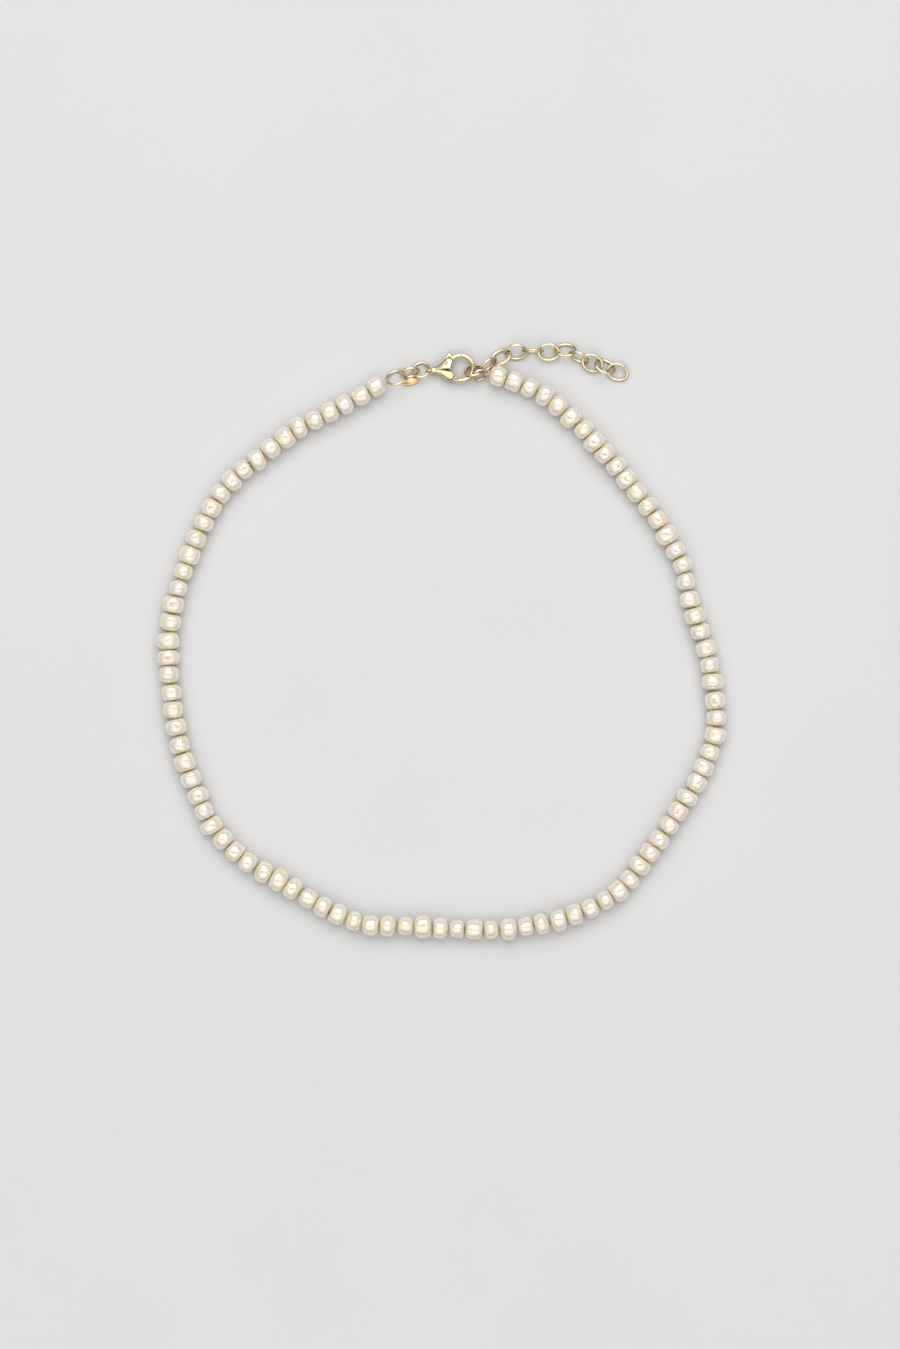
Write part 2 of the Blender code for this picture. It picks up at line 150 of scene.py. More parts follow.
GATE = [(80.8, 0.42, 0.42), (90, 0.44, 0.44), (115, 0.45, 0.45), (140, 0.46, 0.44), (152, 0.44, 0.42)]
LEVER_HALF = 0.44
LEVER_OUTLINE = [
    (-3.85, 0.95), (-3.35, 0.5), (-2.55, 0.6), (-2.25, 1.15), (-1.75, 1.85), (-1.35, 2.4),
    (-1.75, 2.75), (-1.95, 3.0), (-2.25, 3.1), (-2.55, 3.0), (-2.75, 2.6), (-3.4, 2.0), (-3.85, 1.6),
]
THUMB = [  # x, y, half width, half thickness
    (-2.2, 2.6, 0.50, 0.46), (-2.2, 2.75, 0.49, 0.46), (-2.2, 2.83, 0.43, 0.42), (-2.2, 2.91, 0.48, 0.46),
    (-2.2, 3.0, 0.46, 0.45), (-2.2, 3.08, 0.40, 0.40), (-2.2, 3.16, 0.43, 0.43), (-2.2, 3.25, 0.38, 0.40),
    (-2.2, 3.33, 0.32, 0.34), (-2.2, 3.4, 0.24, 0.26), (-2.2, 3.44, 0.12, 0.14),
]
RIVET = [  # height, radius
    (-1.23, 0.04), (-1.22, 0.16), (-1.18, 0.27), (-1.1, 0.34), (-1.0, 0.36), (-0.9, 0.34), (0.9, 0.34),
    (1.0, 0.36), (1.1, 0.34), (1.18, 0.27), (1.22, 0.16), (1.23, 0.04),
]
SPRING_ROUTE = [
    (-3.35, 0.12), (-4.1, 0.2), (-4.65, 0), (-4.9, -0.35), (-4.65, -0.75), (-4.1, -0.9), (-3.4, -0.9),
]
SPRING_WIRE_RADIUS = 0.1
EYE_X = -6.8
EYE_RADIUS = 0.64
EYE_WIRE_RADIUS = 0.22
SKIN_CELL = 0.045
SKIN_ROUNDS = 8
# Squareness of each section: 2 is round
HOOK_POWER = 2.1
STEP_POWER = 4
GATE_POWER = 2.3
THUMB_POWER = 3
ROUND_POWER = 2
LEAF_POWER = 1.9
THUMB_LEAN = 0.25

# Tag plate, in mm
TAG_PLACE = (-6.65, 56.0, 0.22)
TAG_HEADING = 12
TAG_HALF = (1.95, 0.8)
TAG_EDGE = [  # height, share of the full outline
    (-0.17, 0.02), (-0.17, 0.5), (-0.16, 0.85), (-0.13, 0.94), (-0.07, 0.985), (0, 1), (0.06, 0.99),
    (0.11, 0.96), (0.145, 0.9), (0.165, 0.8), (0.18, 0.5), (0.185, 0.02),
]
SOLDER_PLACE = (-6.63, 56.8, 0.3)
SOLDER_HALF = (0.5, 0.26, 0.17)
SOLDER_STEPS = 12
SOLDER_POLE = 0.05  # radians left open at each pole

# Thread loops
YARNS = 3
YARN_TURNS = 6
YARN_OFFSET = 0.48  # share of the thread's radius
YARN_RADIUS = 0.52

FLANK_SHADE = "painted_flank_shade"  # stored on every piece and read by gold to paint shade and dark reflections on its flanks: 0 facing up, 1 on the flanks
FLANK_SHADE_START = 0.75
END_SHARE = "end_share"  # stored on pearls: 0 round the middle, 1 at the drill holes


def mesh_object(name, mesh, finish, body, slot, *nodes):
    """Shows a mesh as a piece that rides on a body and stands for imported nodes."""
    mesh.materials.clear()
    mesh.materials.append(finish)
    mesh.shade_smooth()
    # How far each point turns from facing up: gold darkens there as painted shade and painted dark
    # reflection.
    shares = [min(1, max(0, 1 - normal.vector.z / FLANK_SHADE_START)) for normal in mesh.vertex_normals]
    mesh.attributes.new(FLANK_SHADE, "FLOAT", "POINT").data.foreach_set("value", shares)
    item = bpy.data.objects.new(name, mesh)
    bpy.context.scene.collection.objects.link(item)
    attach(item, body)
    if nodes:
        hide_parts(*nodes)
    return item


def grid_mesh(name, rows, closed_rows):
    """A mesh from rows of points. Each row is a closed ring, and the rows close too if asked."""
    count = len(rows[0])
    points = [point for row in rows for point in row]
    faces = []
    last = len(rows) if closed_rows else len(rows) - 1
    for i in range(last):
        here = i * count
        there = (i + 1) % len(rows) * count
        for j in range(count):
            k = (j + 1) % count
            faces.append((here + j, here + k, there + k, there + j))
    if not closed_rows:
        faces.append(tuple(range(count - 1, -1, -1)))
        faces.append(tuple(range((len(rows) - 1) * count, len(rows) * count)))
    mesh = bpy.data.meshes.new(name)
    mesh.from_pydata(points, [], faces)
    work = bmesh.new()
    work.from_mesh(mesh)
    bmesh.ops.recalc_face_normals(work, faces=work.faces)
    work.to_mesh(mesh)
    work.free()
    return mesh


# ---------------------------------------------------------------- materials


def new_material(name):
    """A material with its nodes, links and main shader."""
    made = bpy.data.materials.new(name)
    made.use_nodes = True
    return made, made.node_tree.nodes, made.node_tree.links, made.node_tree.nodes["Principled BSDF"]


def noise_node(nodes, links, scale, detail, where, roughness=0.5):
    """Soft noise over a place."""
    node = nodes.new("ShaderNodeTexNoise")
    node.inputs["Scale"].default_value = scale
    node.inputs["Detail"].default_value = detail
    node.inputs["Roughness"].default_value = roughness
    links.new(where, node.inputs["Vector"])
    return node


def ramp_node(nodes, links, source, stops):
    """Turns a value into a colour by stops of place and colour."""
    ramp = nodes.new("ShaderNodeValToRGB")
    while len(ramp.color_ramp.elements) < len(stops):
        ramp.color_ramp.elements.new(0.5)
    for element, (place, colour) in zip(ramp.color_ramp.elements, stops):
        element.position = place
        element.color = (*colour, 1)
    links.new(source, ramp.inputs["Fac"])
    return ramp


def range_node(nodes, links, source, low, high):
    """Stretches the middle of a noise to run from low to high."""
    node = nodes.new("ShaderNodeMapRange")
    node.inputs["From Min"].default_value = 0.3
    node.inputs["From Max"].default_value = 0.7
    node.inputs["To Min"].default_value = low
    node.inputs["To Max"].default_value = high
    links.new(source, node.inputs["Value"])
    return node


def bump_node(nodes, links, source, strength, distance, below=None):
    """Relief from a value, over another relief if one is given."""
    node = nodes.new("ShaderNodeBump")
    node.inputs["Strength"].default_value = strength
    node.inputs["Distance"].default_value = distance
    links.new(source, node.inputs["Height"])
    if below:
        links.new(below.outputs["Normal"], node.inputs["Normal"])
    return node


def shaded_by(nodes, links, tone, stored, tint):
    """Multiplies a ramp's colour by a tint where a value stored on the mesh is 1."""
    share = nodes.new("ShaderNodeAttribute")
    share.attribute_name = stored
    mixed = nodes.new("ShaderNodeMix")
    mixed.data_type = "RGBA"
    mixed.blend_type = "MULTIPLY"
    mixed.inputs["B"].default_value = (*tint, 1)
    links.new(share.outputs["Fac"], mixed.inputs["Factor"])
    links.new(tone.outputs["Color"], mixed.inputs["A"])
    return mixed


def nacre():
    """Cream nacre that reflects softly from inside, with a painted warm tint near the drill holes, where the
    pearls touch, for the warm light that glows through and bounces between them.
    """
    made, nodes, links, shader = new_material("nacre")
    where = nodes.new("ShaderNodeTexCoord").outputs["Object"]
    drift = noise_node(nodes, links, 190, 2, where)
    tone = ramp_node(nodes, links, drift.outputs["Fac"], [
        (0.30, (0.82, 0.76, 0.66)),
        (0.45, (0.84, 0.77, 0.69)),
        (0.60, (0.86, 0.76, 0.70)),
        (0.72, (0.81, 0.78, 0.67)),
    ])
    # Painted warm light and shade between touching pearls: yellower towards the drill holes.
    painted_contact_glow = shaded_by(nodes, links, tone, END_SHARE, (1.0, 0.96, 0.78))
    links.new(painted_contact_glow.outputs["Result"], shader.inputs["Base Color"])
    cloud = noise_node(nodes, links, 900, 3, where)
    gloss = range_node(nodes, links, cloud.outputs["Fac"], 0.05, 0.12)
    links.new(gloss.outputs["Result"], shader.inputs["Roughness"])
    wrinkle = noise_node(nodes, links, 1300, 4, where)
    grain = noise_node(nodes, links, 6000, 2, where)
    coarse = bump_node(nodes, links, wrinkle.outputs["Fac"], 0.08, 0.02 * MM)
    fine = bump_node(nodes, links, grain.outputs["Fac"], 0.1, 0.003 * MM, coarse)
    links.new(fine.outputs["Normal"], shader.inputs["Normal"])
    shader.inputs["Metallic"].default_value = 0.22
    shader.inputs["IOR"].default_value = 1.6
    shader.inputs["Subsurface Weight"].default_value = 0.9
    shader.inputs["Subsurface Radius"].default_value = (1.0, 0.8, 0.45)
    shader.inputs["Subsurface Scale"].default_value = 2.2 * MM
    shader.inputs["Coat Weight"].default_value = 0.5
    shader.inputs["Coat Roughness"].default_value = 0.03
    shader.inputs["Coat IOR"].default_value = 1.55
    return made


def gold(name, colour, roughness, scratch):
    """Polished yellow gold with soft clouding and fine hairlines, darkened and browned on its flanks as
    painted shade and painted dark reflection.
    """
    made, nodes, links, shader = new_material(name)
    where = nodes.new("ShaderNodeTexCoord").outputs["Object"]
    cloud = noise_node(nodes, links, 700, 3, where)
    deep = tuple(channel * share for channel, share in zip(colour, (0.93, 0.88, 0.8)))
    tone = ramp_node(nodes, links, cloud.outputs["Fac"], [(0.35, deep), (0.62, colour)])
    # Painted shade: the colour turns dark brown towards the flanks, in place of the dark surroundings and
    # shaded floor that they would reflect.
    flank_shaded = shaded_by(nodes, links, tone, FLANK_SHADE, (0.36, 0.26, 0.12))
    links.new(flank_shaded.outputs["Result"], shader.inputs["Base Color"])
    gloss = range_node(nodes, links, cloud.outputs["Fac"], roughness * 0.7, roughness * 1.4)
    links.new(gloss.outputs["Result"], shader.inputs["Roughness"])
    stretch = nodes.new("ShaderNodeMapping")
    stretch.inputs["Scale"].default_value = (1, 5, 9)
    stretch.inputs["Rotation"].default_value = (0.4, 0.3, 0.5)
    links.new(where, stretch.inputs["Vector"])
    hairline = noise_node(nodes, links, 2600, 3, stretch.outputs["Vector"], 0.6)
    dent = bump_node(nodes, links, cloud.outputs["Fac"], 0.25, 0.03 * MM)
    fine = bump_node(nodes, links, hairline.outputs["Fac"], scratch, 0.004 * MM, dent)
    links.new(fine.outputs["Normal"], shader.inputs["Normal"])
    shader.inputs["Metallic"].default_value = 1
    return made


def thread_material():
    """Twisted cream silk."""
    made, nodes, links, shader = new_material("silk_thread")
    where = nodes.new("ShaderNodeTexCoord").outputs["Object"]
    fibre = noise_node(nodes, links, 9000, 3, where)
    tone = ramp_node(nodes, links, fibre.outputs["Fac"], [
        (0.3, (0.62, 0.56, 0.42)),
        (0.7, (0.90, 0.86, 0.74)),
    ])
    links.new(tone.outputs["Color"], shader.inputs["Base Color"])
    twist = bump_node(nodes, links, fibre.outputs["Fac"], 0.6, 0.03 * MM)
    links.new(twist.outputs["Normal"], shader.inputs["Normal"])
    shader.inputs["Roughness"].default_value = 0.75
    shader.inputs["Sheen Weight"].default_value = 0.3
    return made


def steel():
    """Drawn spring wire."""
    made, nodes, links, shader = new_material("spring_wire")
    where = nodes.new("ShaderNodeTexCoord").outputs["Object"]
    streak = noise_node(nodes, links, 5000, 3, where)
    tone = ramp_node(nodes, links, streak.outputs["Fac"], [
        (0.3, (0.45, 0.43, 0.40)),
        (0.7, (0.68, 0.66, 0.62)),
    ])
    links.new(tone.outputs["Color"], shader.inputs["Base Color"])
    gloss = range_node(nodes, links, streak.outputs["Fac"], 0.22, 0.42)
    links.new(gloss.outputs["Result"], shader.inputs["Roughness"])
    shader.inputs["Metallic"].default_value = 1
    return made


def paper():
    """The pale, very slightly uneven surface under the necklace."""
    made, nodes, links, shader = new_material("pale_floor")
    where = nodes.new("ShaderNodeTexCoord").outputs["Object"]
    cloud = noise_node(nodes, links, 22, 3, where)
    tone = ramp_node(nodes, links, cloud.outputs["Fac"], [
        (0.3, (0.66, 0.66, 0.665)),
        (0.7, (0.67, 0.67, 0.675)),
    ])
    links.new(tone.outputs["Color"], shader.inputs["Base Color"])
    shader.inputs["Roughness"].default_value = 0.9
    shader.inputs["Specular IOR Level"].default_value = 0.2
    return made


NACRE = nacre()
CLASP_GOLD = gold("clasp_gold", (0.90, 0.78, 0.49), 0.12, 0.08)
CHAIN_GOLD = gold("chain_gold", (0.88, 0.77, 0.49), 0.14, 0.08)
FROSTED_GOLD = gold("frosted_gold", (0.91, 0.80, 0.52), 0.34, 0.3)
# The tag plate's gold is a more orange alloy, and its darker tone is painted shade, as the plate lies in
# shade under its link.
TAG_GOLD = gold("tag_gold", (0.80, 0.59, 0.30), 0.28, 0.3)
THREAD = thread_material()
STEEL = steel()


# ---------------------------------------------------------------- camera and light


def camera():
    """Looks straight down, so that the view height is seen at the height of the pearls' middles."""
    data = bpy.data.cameras.new("view")
    data.lens = LENS
    data.sensor_width = SENSOR
    item = bpy.data.objects.new("view", data)
    bpy.context.scene.collection.objects.link(item)
    away = VIEW_HEIGHT * LENS / SENSOR + PEARL_MIDDLE_HEIGHT
    item.location = (VIEW_MIDDLE[0] * MM, VIEW_MIDDLE[1] * MM, away * MM)
    data.clip_start = CLIP_START
    bpy.context.scene.camera = item


def towards(tilt, turn):
    """The direction that leans from straight up by tilt, towards a heading from +Y, in degrees."""
    tilt, turn = math.radians(tilt), math.radians(turn)
    return Vector((math.sin(turn) * math.sin(tilt), math.cos(turn) * math.sin(tilt), math.cos(tilt)))


def softbox(name, tilt, turn, distance, width, length, radiance, colour):
    """A rectangular light that faces the necklace."""
    data = bpy.data.lights.new(name, "AREA")
    data.shape = "RECTANGLE"
    data.size = width
    data.size_y = length
    data.energy = radiance * math.pi * width * length
    data.color = colour
    item = bpy.data.objects.new(name, data)
    bpy.context.scene.collection.objects.link(item)
    away = towards(tilt, turn)
    item.location = away * distance
    item.rotation_euler = away.to_track_quat("Z", "Y").to_euler()
    item.visible_camera = False


def flag(name, tilt, turn, distance, width, length, finish):
    """A dark card that faces the necklace and shows only as a reflection and a shade."""
    bpy.ops.mesh.primitive_plane_add(size=1)
    item = bpy.context.object
    item.name = name
    item.scale = (width, length, 1)
    away = towards(tilt, turn)
    item.location = away * distance
    item.rotation_euler = away.to_track_quat("Z", "Y").to_euler()
    item.visible_camera = False
    item.data.materials.append(finish)


def dark_cloth():
    """Black woven cloth for the flags."""
    made, nodes, links, shader = new_material("dark_cloth")
    where = nodes.new("ShaderNodeTexCoord").outputs["Object"]
    weave = noise_node(nodes, links, 40, 2, where)
    tone = ramp_node(nodes, links, weave.outputs["Fac"], [
        (0.3, (0.02, 0.02, 0.02)),
        (0.7, (0.04, 0.04, 0.04)),
    ])
    links.new(tone.outputs["Color"], shader.inputs["Base Color"])
    shader.inputs["Roughness"].default_value = 0.9
    return made


def studio():
    """A pale floor, a key light on the far side, a weak fill on the near side and two dark flags."""
    bpy.ops.mesh.primitive_plane_add(size=FLOOR_SIZE, location=(0, 0, -FLOOR_DROP))
    floor = bpy.context.object
    floor.name = "floor"
    floor.data.materials.append(paper())
    softbox("key", *KEY, *KEY_LIGHT)
    softbox("fill", *FILL, *FILL_LIGHT)
    cloth = dark_cloth()
    flag("camera_flag", *CAMERA_FLAG, cloth)
    flag("near_flag", *NEAR_FLAG, cloth)
    world = bpy.data.worlds.new("studio")
    world.use_nodes = True
    nodes, links = world.node_tree.nodes, world.node_tree.links
    height = nodes.new("ShaderNodeSeparateXYZ")
    links.new(nodes.new("ShaderNodeTexCoord").outputs["Generated"], height.inputs["Vector"])
    wall = ramp_node(nodes, links, height.outputs["Z"], [
        (0.0, (0.08, 0.078, 0.075)),
        (0.3, (0.2, 0.198, 0.195)),
        (0.6, (0.55, 0.547, 0.543)),
        (0.85, (0.9, 0.895, 0.89)),
        (1.0, (1.0, 0.995, 0.99)),
    ])
    links.new(wall.outputs["Color"], nodes["Background"].inputs["Color"])
    nodes["Background"].inputs["Strength"].default_value = WALL_LIGHT
    bpy.context.scene.world = world
    bpy.context.scene.view_settings.view_transform = "Standard"


# ---------------------------------------------------------------- strand


def smooth_point(before, start, end, after, share):
    """A point on the Catmull-Rom curve between start and end."""
    square = share * share
    cube = square * share
    return 0.5 * (
        2 * start
        + (end - before) * share
        + (2 * before - 5 * start + 4 * end - after) * square
        + (3 * start - before - 3 * end + after) * cube
    )


def measured_route():
    """Points along the smooth route, and the length run at each of them."""
    given = [Vector((x * MM, y * MM, 0)) for x, y in ROUTE]
    ends = [2 * given[0] - given[1]] + given + [2 * given[-1] - given[-2]]
    points = [given[0]]
    for index in range(1, len(ends) - 2):
        for step in range(1, STEPS_PER_POINT + 1):
            points.append(smooth_point(*ends[index - 1:index + 3], step / STEPS_PER_POINT))
    lengths = [0.0]
    for start, end in zip(points, points[1:]):
        lengths.append(lengths[-1] + (end - start).length)
    return points, lengths


def route_at(distance, points, lengths):
    """The place and direction on the route after a distance along it."""
    index = 1
    while index < len(lengths) - 1 and lengths[index] < distance:
        index += 1
    start, end = points[index - 1], points[index]
    share = (distance - lengths[index - 1]) / (lengths[index] - lengths[index - 1])
    return start + (end - start) * share, (end - start).normalized()


def pearl_sizes(total):
    """Length along the thread and radius across it of each pearl, so that they fill the route."""
    draw = random.Random(PEARL_SEED)
    sizes = [
        (draw.uniform(*PEARL_LENGTH) * MM, draw.uniform(*PEARL_ACROSS) * MM / 2)
        for _ in range(PEARL_COUNT)
    ]
    spans = sum((a[0] + b[0]) / 2 for a, b in zip(sizes, sizes[1:]))
    fit = (total - PEARL_GAP * (PEARL_COUNT - 1)) / spans
    return [(length * fit, radius) for length, radius in sizes]


def strung_pearls():
    """Centre, direction, half length and radius of every pearl."""
    points, lengths = measured_route()
    sizes = pearl_sizes(lengths[-1])
    pearls = []
    distance = 0.0
    for index, (length, radius) in enumerate(sizes):
        if index:
            distance += (sizes[index - 1][0] + length) / 2 + PEARL_GAP
        place, direction = route_at(distance, points, lengths)
        place.z = radius
        pearls.append((place, direction, length / 2, radius))
    return pearls


def group_body(index):
    """The body that a pearl belongs to, by its place on the thread."""
    return f"pearls_{index // PEARLS_PER_GROUP + 1:02d}"


def nacre_radius(direction, half, radius, form, fullness):
    """Distance from a pearl's centre to its surface in a direction, in the drill hole's frame."""
    own = form["lean"] @ direction
    across = math.hypot(own.y * (1 + form["oval"]), own.z * (1 - form["oval"]))
    power = fullness[own.x > 0]
    reach = (abs(own.x / half) ** power + (across / radius) ** power) ** (-1 / power)
    swell = form["lumps"] * noise.noise(direction * LUMP_PITCH + form["offset"])
    swell += form["dimples"] * noise.noise(direction * DIMPLE_PITCH + form["offset"])
    for place, width, depth in form["creases"]:
        wander = CREASE_WANDER[0] * noise.noise(direction * CREASE_WANDER[1] - form["offset"])
        fade = noise.noise(direction * CREASE_FADE[2] + 2 * form["offset"])
        fade = CREASE_FADE[0] + CREASE_FADE[1] * fade
        swell -= depth * max(0.0, fade) * math.exp(-((own.x + wander - place) / width) ** 2)
    return reach * (1 + swell)


def pearl_form(draw):
    """The chance features of one pearl."""
    lean = Euler((
        math.radians(draw.uniform(0, 180)),
        math.radians(draw.uniform(-TILT, TILT)),
        math.radians(draw.uniform(-TILT, TILT)),
    ))
    creases = [
        (draw.uniform(-CREASE_PLACE, CREASE_PLACE), draw.uniform(*CREASE_WIDTH), draw.uniform(*CREASE_DEPTH))
        for _ in range(draw.randint(*CREASES))
    ]
    return {
        "lean": lean.to_matrix().inverted(),
        "oval": draw.uniform(-OVAL, OVAL),
        "lumps": draw.uniform(*LUMPS),
        "dimples": draw.uniform(*DIMPLES),
        "creases": creases,
        "offset": Vector([draw.uniform(0, NOISE_SPAN) for _ in range(3)]),
    }


def fitted(rows, low, high):
    """Stretches each side of a pearl so that it ends at the given places along the thread."""
    least = min(point.x for row in rows for point in row)
    most = max(point.x for row in rows for point in row)
    for row in rows:
        for point in row:
            point.x *= high / most if point.x > 0 else low / least


def pearl_mesh(name, pearl, before, after, draw):
    """A drilled freshwater pearl. Its ends grow by the given amounts towards its neighbours."""
    place, direction, half, radius = pearl
    form = pearl_form(draw)
    fullness = [
        draw.uniform(*(FULLNESS_TOUCHING if growth == TOUCH_IN_GROUP else FULLNESS_FREE))
        for growth in (before, after)
    ]
    first = math.asin(HOLE_RADIUS / half)
    rows = []
    for i in range(PEARL_RINGS):
        polar = first + (math.pi - 2 * first) * i / (PEARL_RINGS - 1)
        row = []
        for j in range(PEARL_SIDES):
            turn = 2 * math.pi * j / PEARL_SIDES
            ray = Vector((
                -math.cos(polar), math.sin(polar) * math.cos(turn), math.sin(polar) * math.sin(turn)
            ))
            row.append(ray * nacre_radius(ray, half, radius, form, fullness))
        rows.append(row)
    fitted(rows, -half - before, half + after)
    miss = Vector((0, draw.uniform(-OFF_CENTRE, OFF_CENTRE), draw.uniform(-OFF_CENTRE, OFF_CENTRE)))
    for row in rows:
        for point in row:
            point += miss * max(0.0, 1 - (point.x / half) ** 2)
    low = min(point.z for row in rows for point in row)
    ends = sum(point.x for point in rows[0]) / PEARL_SIDES, sum(point.x for point in rows[-1]) / PEARL_SIDES
    for k in range(HOLE_RINGS):
        depth = ends[1] - HOLE_LIP + (ends[0] - ends[1] + 2 * HOLE_LIP) * k / (HOLE_RINGS - 1)
        narrow = HOLE_RADIUS - HOLE_LIP
        rows.append([
            Vector((
                depth,
                narrow * math.cos(2 * math.pi * j / PEARL_SIDES),
                narrow * math.sin(2 * math.pi * j / PEARL_SIDES),
            ))
            for j in range(PEARL_SIDES)
        ])
    heading = math.atan2(direction.y, direction.x)
    turn = Matrix.Rotation(heading, 3, "Z")
    seat = Vector((place.x, place.y, -low))
    shares = [min(1.0, abs(point.x) / half) ** END_POWER for row in rows for point in row]
    rows = [[turn @ point + seat for point in row] for row in rows]
    mesh = grid_mesh(name, rows, closed_rows=True)
    mesh.attributes.new(END_SHARE, "FLOAT", "POINT").data.foreach_set("value", shares)
    return mesh


def build_pearls(pearls):
    """Every pearl, grown a little towards the neighbours it touches."""
    draw = random.Random(SHAPE_SEED)
    for index, pearl in enumerate(pearls):
        body = group_body(index)
        starts = index % PEARLS_PER_GROUP == 0
        stops = index % PEARLS_PER_GROUP == PEARLS_PER_GROUP - 1
        before = TOUCH_AT_HINGE if starts else TOUCH_IN_GROUP
        after = TOUCH_AT_HINGE if stops else TOUCH_IN_GROUP
        name = f"pearl_{index + 1:03d}"
        mesh_object(name, pearl_mesh(name, pearl, before, after, draw), NACRE, body, "pearl", body)


# ---------------------------------------------------------------- wire


def swept(name, path, radii, closed, sides=WIRE_SIDES):
    """A round wire along points, with a radius at each. Open ends are rounded."""
    count = len(path)
    tangents = []
    for i in range(count):
        if closed:
            tangent = path[(i + 1) % count] - path[i - 1]
        else:
            tangent = path[min(i + 1, count - 1)] - path[max(i - 1, 0)]
        tangents.append(tangent.normalized())
    side = tangents[0].orthogonal().normalized()
    frames = []
    for tangent in tangents:
        side = (side - tangent * side.dot(tangent)).normalized()
        frames.append((side.copy(), tangent.cross(side)))
    if closed:
        last = frames[-1][0]
        onward = (last - tangents[0] * last.dot(tangents[0])).normalized()
        slip = math.atan2(onward.dot(frames[0][1]), onward.dot(frames[0][0]))
        frames = [
            (
                a * math.cos(-slip * i / count) + b * math.sin(-slip * i / count),
                b * math.cos(-slip * i / count) - a * math.sin(-slip * i / count),
            )
            for i, (a, b) in enumerate(frames)
        ]
    rows = []

    def ring(centre, radius, pair):
        """One row of points round the wire."""
        return [
            centre
            + pair[0] * radius * math.cos(2 * math.pi * j / sides)
            + pair[1] * radius * math.sin(2 * math.pi * j / sides)
            for j in range(sides)
        ]

    if not closed:
        for share in END_CAPS:
            back = math.sqrt(1 - share * share)
            rows.append(ring(path[0] - tangents[0] * radii[0] * back, radii[0] * share, frames[0]))
    for centre, radius, pair in zip(path, radii, frames):
        rows.append(ring(centre, radius, pair))
    if not closed:
        for share in reversed(END_CAPS):
            ahead = math.sqrt(1 - share * share)
            rows.append(ring(path[-1] + tangents[-1] * radii[-1] * ahead, radii[-1] * share, frames[-1]))
    return grid_mesh(name, rows, closed)


def build_thread(pearls):
    """The thread inside each group, up to the middle of the gaps where the groups meet."""
    for start in range(0, PEARL_COUNT, PEARLS_PER_GROUP):
        group = pearls[start:start + PEARLS_PER_GROUP]
        path = []
        for place, direction, half, _ in group:
            reach = half + PEARL_GAP / 2
            path += [place - direction * reach, place, place + direction * reach]
        smooth = []
        for a, b in zip(path, path[1:]):
            if (b - a).length < THREAD_LEAST:
                continue
            smooth += [a.lerp(b, k / THREAD_STEPS) for k in range(THREAD_STEPS)]
        smooth.append(path[-1])
        body = group_body(start)
        name = f"thread_{start // PEARLS_PER_GROUP + 1:02d}"
        mesh = swept(name, smooth, [THREAD_RADIUS] * len(smooth), False, THREAD_SIDES)
        mesh_object(name, mesh, THREAD, body, "thread", body)


def node_points(node):
    """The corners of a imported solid."""
    return [vertex.co.copy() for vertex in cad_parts[node].data.vertices]


def axes_of(points):
    """The middle of a set of points and its three main directions, widest first."""
    middle = sum(points, Vector()) / len(points)
    spread = Matrix(((0, 0, 0), (0, 0, 0), (0, 0, 0)))
    for point in points:
        d = point - middle
        for i in range(3):
            for j in range(3):
                spread[i][j] += d[i] * d[j]
    directions = []
    for _ in range(2):
        guess = Vector((0.7, 0.5, 0.3)) if not directions else directions[0].orthogonal()
        for _ in range(400):
            guess = spread @ guess
            for known in directions:
                guess -= known * guess.dot(known)
            guess.normalize()
        directions.append(guess)
    directions.append(directions[0].cross(directions[1]))
    return middle, directions


def reach_along(points, middle, direction):
    """The furthest that any point lies from the middle in a direction."""
    return max(abs((point - middle).dot(direction)) for point in points)


def ring_mesh(name, node, seam):
    """A smooth oval ring of round wire in the place of a packed one, with a soldered seam."""
    points = node_points(node)
    middle, (lengthways, across, normal) = axes_of(points)
    wire = reach_along(points, middle, normal)
    thick = wire * WIRE_FULLNESS
    long_half = reach_along(points, middle, lengthways) - wire
    short_half = reach_along(points, middle, across) - wire
    path = []
    radii = []
    for i in range(RING_STEPS):
        turn = 2 * math.pi * i / RING_STEPS
        place = middle + lengthways * long_half * math.cos(turn)
        path.append(place + across * short_half * math.sin(turn))
        off = (turn - seam + math.pi) % (2 * math.pi) - math.pi
        radii.append(thick * (1 + SEAM_SWELL * math.exp(-(off / SEAM_WIDTH) ** 2)))
    return swept(name, path, radii, True)


def build_rings():
    """Every jump ring and chain link."""
    draw = random.Random(SHAPE_SEED)
    rings = ["left_end_ring", "tag_link", "clasp_ring", "connector_ring", "right_end_ring"]
    rings += [f"chain_link_{number:02d}" for number in range(1, 11)]
    for node in rings:
        seam = draw.uniform(*SEAM_TURNS)
        name = node + "_wire"
        mesh_object(name, ring_mesh(name, node, seam), CHAIN_GOLD, node, "chain_gold", node)


# ---------------------------------------------------------------- clasp, in mm in its own frame


def along(points, steps, closed=False):
    """Points on the smooth curve through the given ones."""
    count = len(points)
    curve = []
    for index in range(count if closed else count - 1):
        if closed:
            near = [points[(index + shift) % count] for shift in (-1, 0, 1, 2)]
        else:
            near = [points[min(max(index + shift, 0), count - 1)] for shift in (-1, 0, 1, 2)]
        curve += [smooth_point(*near, step / steps) for step in range(steps)]
    return curve if closed else curve + [points[-1]]


def loft(name, stations, power, sides=LOFT_SIDES):
    """A closed bar with a rounded section at each station: its middle, half side and half rise."""
    rows = []
    for middle, side, rise in stations:
        row = []
        for j in range(sides):
            turn = 2 * math.pi * j / sides
            a, b = math.cos(turn), math.sin(turn)
            row.append(
                middle
                + side * math.copysign(abs(a) ** (2 / power), a)
                + rise * math.copysign(abs(b) ** (2 / power), b)
            )
        rows.append(row)
    return grid_mesh(name, rows, False)


def slab(name, outline, half):
    """A flat plate with an outline and a half thickness."""
    return grid_mesh(name, [[Vector((p.x, p.y, z)) for p in outline] for z in (-half, half)], False)


